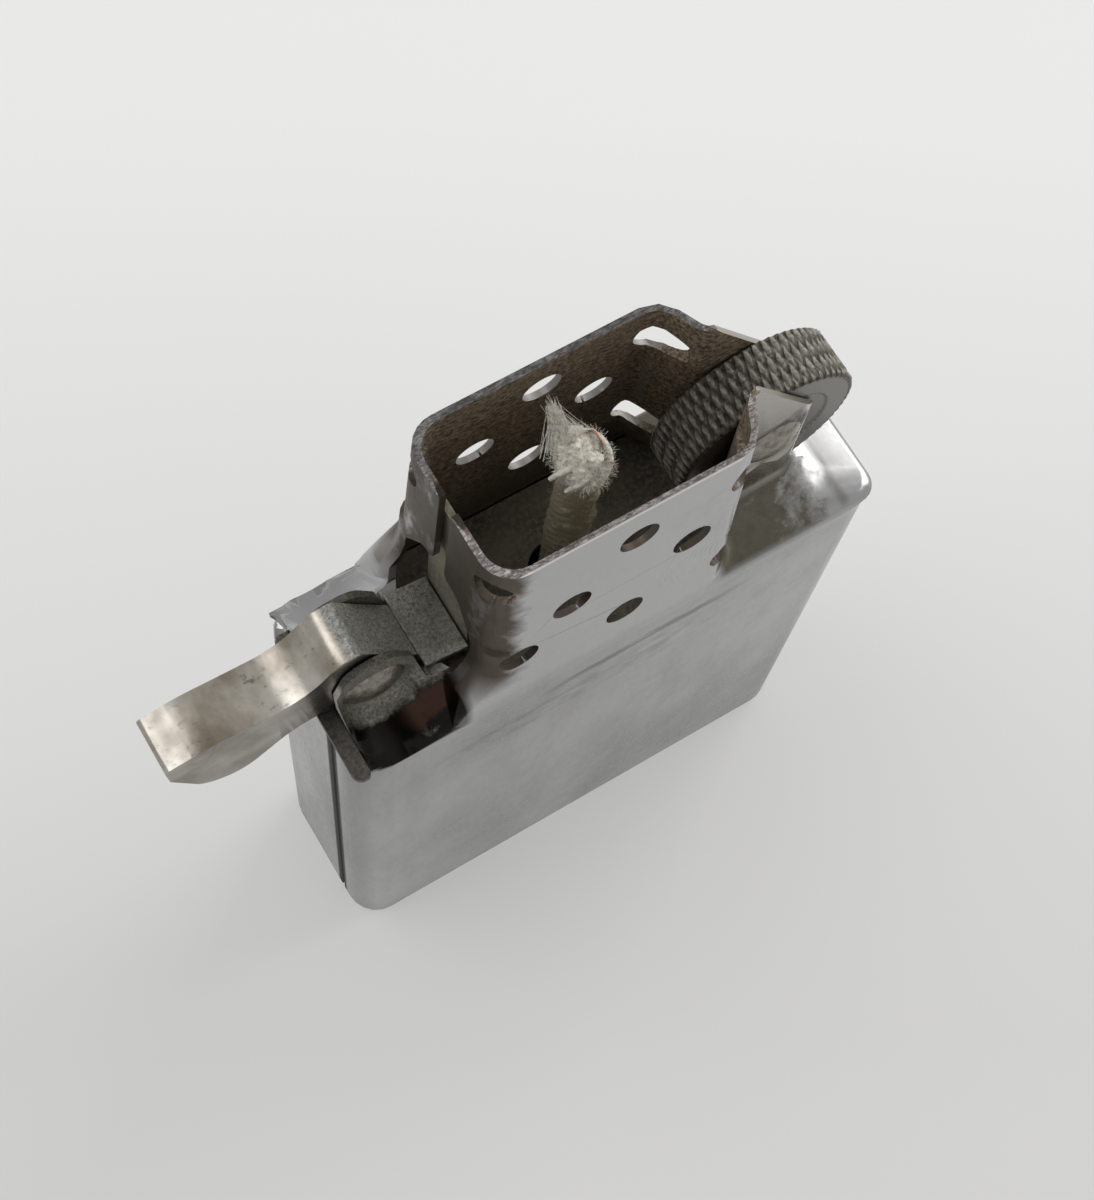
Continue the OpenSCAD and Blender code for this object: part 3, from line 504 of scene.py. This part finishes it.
choose(wheel, lambda f: abs(f.normal.y) > 0.9 and len(f.vertices) > 10, "polygons")
bpy.ops.mesh.inset(thickness=0.0012, depth=0.0)
bpy.ops.mesh.inset(thickness=0.00012, depth=-0.00008)
bpy.ops.object.mode_set(mode="OBJECT")
file_steel, tree, skin, where = finish_of("file steel", (0.2, 0.2, 0.18), 0.9, 0.38)
hub, across, rise = axes_of(tree, put(tree, "ShaderNodeMapping", {0: where, 1: -1000 * wheel_at}))
round_it = calc(tree, "ARCTAN2", rise, hub)
reach = calc(tree, "SQRT", calc(tree, "ADD", product(tree, hub, hub), product(tree, rise, rise)))
dirt = grain(tree, where, 0.22, 7.0, (1, 1, 1), 0.78)
strayed = calc(tree, "ADD", calc(tree, "MULTIPLY", grain(tree, where, 0.8, 3.0), 2.4),
               calc(tree, "MULTIPLY", across, 3.4))
crossed = calc(tree, "SINE", calc(tree, "ADD", calc(tree, "MULTIPLY", round_it, 60.0), strayed))
plain = rising(tree, reach, 5.22, 5.12)
cuts = calc(tree, "MULTIPLY", rising(tree, crossed, 0.1, 0.9), calc(tree, "SUBTRACT", 1.0, plain))
crest = product(tree, rising(tree, reach, 5.36, 5.49), rising(tree, dirt, 0.3, 0.65))
face = blend(tree, crest, (0.12, 0.115, 0.10, 1), (0.66, 0.62, 0.54, 1))
face = blend(tree, calc(tree, "MULTIPLY", cuts, 0.7), face, (0.08, 0.075, 0.065, 1))
face = blend(tree, plain, face, blend(tree, dirt, (0.15, 0.145, 0.13, 1), (0.26, 0.25, 0.225, 1)))
rusty = product(tree, rising(tree, dirt, 0.56, 0.74), 0.7)
tree.links.new(blend(tree, rusty, face, (0.15, 0.11, 0.075, 1)), skin.inputs["Base Color"])
grit = product(tree, dirt, calc(tree, "SUBTRACT", 1.0, calc(tree, "MULTIPLY", plain, 0.9)))
dents(tree, skin, calc(tree, "ADD", calc(tree, "MULTIPLY", cuts, -1.0), grit), 0.16)
smooth(wheel, 12)
wheel.data.materials.append(file_steel)
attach(wheel, "striker")
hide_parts("spark_wheel")


# The flint train is under the wheel: a brass tube held in the case, the flint, its wire spring with
# a brass tip, and a slotted brass screw. Their shapes are the CAD nodes', with a finish each.
brass, tree, skin, where = finish_of("aged brass", (0.55, 0.40, 0.18), 1.0, 0.35)
age = rising(tree, grain(tree, where, 1.2, 5.0), 0.35, 0.7)
tree.links.new(blend(tree, age, (0.62, 0.45, 0.20, 1), (0.30, 0.20, 0.09, 1)), skin.inputs["Base Color"])
dents(tree, skin, grain(tree, where, 0.3, 4.0), 0.006)
flint, tree, skin, where = finish_of("flint alloy", (0.10, 0.095, 0.09), 0.6, 0.55)
dust = grain(tree, where, 0.25, 5.0, (1, 1, 1), 0.7)
tree.links.new(blend(tree, dust, (0.05, 0.045, 0.045, 1), (0.20, 0.19, 0.18, 1)), skin.inputs["Base Color"])
dents(tree, skin, dust, 0.02)
wire, tree, skin, where = finish_of("spring wire", (0.45, 0.45, 0.44), 1.0, 0.3)
drawn = grain(tree, where, 0.15, 4.0)
tree.links.new(blend(tree, drawn, (0.34, 0.34, 0.33, 1), (0.58, 0.58, 0.57, 1)), skin.inputs["Base Color"])
for part in ("flint_tube", "flint_screw", "spring_tip"):
    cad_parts[part].data.materials[0] = brass
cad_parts["flint"].data.materials[0] = flint
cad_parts["flint_spring"].data.materials[0] = wire


# The wick is loosely plaited cotton round a copper wire, pulled up out of the deck. Its end is
# teased out, white and frayed; lower down it is matted and yellow with fuel.
cotton, tree, skin, where = finish_of("wick cotton", (0.8, 0.77, 0.70), 0.0, 0.95)
strands = put(tree, "ShaderNodeTexWave",
              {"Vector": where, "Scale": 0.9, "Distortion": 3.0, "Detail": 3.0, "Detail Scale": 2.0},
              out=1, bands_direction="DIAGONAL")
level = calc(tree, "ADD", axes_of(tree, where)[2], calc(tree, "MULTIPLY", grain(tree, where, 1.0, 4.0), 1.6))
fuelled = product(tree, rising(tree, strands, 0.35, 0.8), rising(tree, level, 51.2, 49.8), 0.3)
sooty = product(tree, rising(tree, grain(tree, where, 0.6, 5.0), 0.56, 0.68),
                rising(tree, level, 51.6, 50.6), 0.35)
face = blend(tree, rising(tree, level, 49.2, 50.6), (0.36, 0.32, 0.21, 1), (0.80, 0.765, 0.68, 1))
face = blend(tree, fuelled, face, (0.33, 0.29, 0.19, 1))
face = blend(tree, sooty, face, (0.20, 0.16, 0.10, 1))
tree.links.new(face, skin.inputs["Base Color"])
skin.inputs["Subsurface Weight"].default_value = 0.15
skin.inputs["Subsurface Radius"].default_value = (0.0006, 0.0005, 0.0004)
skin.inputs["Sheen Weight"].default_value = 0.1
ridges = calc(tree, "ADD", calc(tree, "MULTIPLY", strands, 0.4), grain(tree, where, 0.14, 4.0))
dents(tree, skin, ridges, 0.12)
wick_at = Vector((-0.0011, 0, 0.0504))
above_deck = 0.0385
wick = copy_of("wick", "wick_rope")
choose(wick, lambda v: v.co.z > above_deck)
bpy.ops.transform.resize(value=(0.72, 0.72, 1), center_override=wick_at)
bpy.ops.transform.translate(value=(0, 0, -0.0014))
bpy.ops.object.mode_set(mode="OBJECT")
smooth(wick, 40)
wick.data.materials.append(cotton)
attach(wick, "case")
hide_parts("wick")


def lumpy(piece, size, depth, name, middle=0.5, fineness=4):
    """Pushes the skin in and out by depth in lumps of about size, and shades it smooth."""
    lumps = bpy.data.textures.new(name, "CLOUDS")
    lumps.noise_scale = size
    lumps.noise_depth = fineness
    push = piece.modifiers.new("lumps", "DISPLACE")
    push.texture, push.strength, push.mid_level, push.texture_coords = lumps, depth, middle, "LOCAL"
    bpy.ops.object.modifier_apply(modifier=push.name)
    bpy.ops.object.shade_smooth()


bpy.ops.object.select_all(action="DESELECT")
bpy.ops.mesh.primitive_uv_sphere_add(segments=96, ring_count=64, radius=0.00125, location=wick_at)
tease = bpy.context.active_object
tease.name = tease.data.name = "wick_teased_end"
bpy.ops.object.transform_apply(location=True, rotation=True, scale=True)
bpy.ops.object.mode_set(mode="EDIT")
bpy.ops.mesh.select_all(action="SELECT")
bpy.ops.transform.resize(value=(0.98, 1.12, 0.78), center_override=wick_at)
bpy.ops.object.mode_set(mode="OBJECT")
lumpy(tease, 0.0012, 0.0017, "wick_lumps")
lumpy(tease, 0.00035, 0.0005, "wick_tufts")
tease.data.materials.append(cotton)
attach(tease, "case")

plait_foot, plait_height, rings = 0.0377, 0.0126, 60
bpy.ops.object.select_all(action="DESELECT")
bpy.ops.mesh.primitive_cone_add(vertices=64, radius1=0.00118, radius2=0.00102, depth=plait_height,
                                end_fill_type="NOTHING",
                                location=(wick_at.x, 0, plait_foot + plait_height / 2))
plait = bpy.context.active_object
plait.name = plait.data.name = "wick_matted_plait"
bpy.ops.object.transform_apply(location=True, rotation=True, scale=True)
bpy.ops.object.mode_set(mode="EDIT")
for k in range(1, rings):
    bpy.ops.mesh.select_all(action="SELECT")
    bpy.ops.mesh.bisect(plane_co=(0, 0, plait_foot + k * plait_height / rings), plane_no=(0, 0, 1))
bpy.ops.object.mode_set(mode="OBJECT")
lumpy(plait, 0.0014, 0.0010, "plait_lumps")
plait.data.materials.append(cotton)
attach(plait, "case")

chance = random.Random(11)


def stray(start, heading, length, curl, steps=5):
    """Points of one loose fibre that wanders as it goes."""
    points = [Vector(start)]
    heading = Vector(heading).normalized()
    for k in range(steps):
        heading = (heading + Vector([chance.gauss(0, curl) for _ in range(3)])).normalized()
        points.append(points[-1] + heading * length / steps)
    return points


def spun(name, runs, thick, finish):
    """Fine strands along runs, thinner at their tips, as one mesh that rides the case."""
    line = bpy.data.curves.new(name, "CURVE")
    line.dimensions = "3D"
    line.bevel_depth, line.bevel_resolution, line.resolution_u = thick, 0, 2
    for run in runs:
        strand = line.splines.new("NURBS")
        strand.points.add(len(run) - 1)
        for k, point in enumerate(run):
            strand.points[k].co = (*point, 1)
            strand.points[k].radius = 1 - 0.5 * k / (len(run) - 1)
        strand.use_endpoint_u, strand.order_u = True, 3
    piece = bpy.data.objects.new(name, line)
    bpy.context.scene.collection.objects.link(piece)
    bpy.ops.object.select_all(action="DESELECT")
    piece.select_set(True)
    bpy.context.view_layer.objects.active = piece
    bpy.ops.object.convert(target="MESH")
    piece = bpy.context.active_object
    bpy.ops.object.shade_smooth()
    piece.data.materials.clear()
    piece.data.materials.append(finish)
    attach(piece, "case")


# Short fibres all over the teased end, a combed lock at its back, and fuzz round the plait; then
# three thick locks, one of them curled round the end.
runs = []
for k in range(1500):
    aim = Vector((chance.gauss(0, 1), chance.gauss(0, 1), chance.gauss(0.35, 0.7))).normalized()
    root = wick_at + Vector((aim.x * 0.0011, aim.y * 0.0013, aim.z * 0.0009))
    aim += Vector((-0.2, 0.1, 0.2))
    runs.append(stray(root, aim, chance.uniform(0.0004, 0.0010), curl=0.6, steps=4))
for k in range(220):
    root = wick_at + Vector((chance.gauss(-0.0004, 0.0006), chance.gauss(0.0011, 0.0003), 0.0002))
    tip = wick_at + Vector((-0.0001 + chance.gauss(0, 0.00012), 0.0027 + chance.gauss(0, 0.0003), 0.0012))
    runs.append(stray(root, tip - root, (tip - root).length, curl=0.05))
for k in range(200):
    about = chance.uniform(0, math.tau)
    out = Vector((math.cos(about), math.sin(about), 0))
    root = Vector((wick_at.x, 0, chance.uniform(0.0445, 0.0497))) + out * 0.00098
    aim = out + Vector((0, 0, chance.uniform(-0.8, 0.8)))
    runs.append(stray(root, aim, chance.uniform(0.0003, 0.0008), curl=0.8, steps=6))
locks = [[wick_at + Vector(point) / 1000 for point in lock] for lock in (
    ((-0.3, -0.3, 0.5), (-1.0, -0.4, 0.8), (-1.6, -0.3, 0.6), (-2.0, -0.2, 0.2)),
    ((0.2, -0.8, 0.3), (-0.5, -1.2, 0.5), (-1.1, -1.2, 0.2), (-1.5, -1.0, -0.3)),
    ((0.3, 1.4, 0.2), (0.9, 1.0, 0.6), (1.3, 0.2, 0.7), (1.3, -0.7, 0.4), (0.8, -1.3, 0.0),
     (0.1, -1.5, -0.4)))]
spun("wick_locks", locks, thick=0.00026, finish=cotton)
spun("wick_fibres", runs, thick=0.000015, finish=cotton)

copper, tree, skin, where = finish_of("copper wire", (0.70, 0.36, 0.22), 1.0, 0.35)
blotches = grain(tree, where, 0.4, 4.0)
tree.links.new(blend(tree, blotches, (0.62, 0.33, 0.21, 1), (0.16, 0.07, 0.04, 1)), skin.inputs["Base Color"])
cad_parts["wick_wire"].data.materials[0] = copper
loop = [Vector(point) / 1000 for point in (
    (-0.6, 1.0, 50.6), (-0.3, 0.9, 51.5), (0.0, 0.4, 51.6), (-0.1, -0.2, 51.4),
    (-0.2, -0.6, 50.7), (0.15, -1.0, 50.9), (0.1, -1.5, 50.4))]
spun("wick_wire_end", [loop], thick=0.00008, finish=copper)


# The packing is loose cotton in five tufts, pushed into the case to soak up the fuel. The pad is
# punched from grey felt and closes the open bottom. Neither shows from above.
fluff, tree, skin, where = finish_of("packing cotton", (0.75, 0.74, 0.71), 0.0, 1.0)
threads = grain(tree, where, 0.5, 6.0, (1, 1, 2), 0.75)
tree.links.new(blend(tree, threads, (0.52, 0.49, 0.43, 1), (0.84, 0.83, 0.80, 1)), skin.inputs["Base Color"])
skin.inputs["Sheen Weight"].default_value = 0.5
dents(tree, skin, threads, 0.35)
for k in range(1, 6):
    tuft = copy_of(f"packing_{k}", f"packing_tuft_{k}")
    lumpy(tuft, 0.0035, 0.0012, f"tuft_lumps_{k}", middle=0.75, fineness=2)
    tuft.data.materials.append(fluff)
    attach(tuft, "case")
    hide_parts(f"packing_{k}")

felt, tree, skin, where = finish_of("grey felt", (0.55, 0.55, 0.53), 0.0, 1.0)
hairs = grain(tree, where, 0.35, 6.0, (1, 1, 1), 0.8)
tree.links.new(blend(tree, hairs, (0.36, 0.36, 0.345, 1), (0.70, 0.70, 0.67, 1)), skin.inputs["Base Color"])
skin.inputs["Sheen Weight"].default_value = 0.4
dents(tree, skin, hairs, 0.2)
pad = copy_of("felt_pad", "felt_pad_soft")
smooth(pad, 40, 0.45, 3)
pad.data.materials.append(felt)
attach(pad, "felt")
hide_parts("felt_pad")
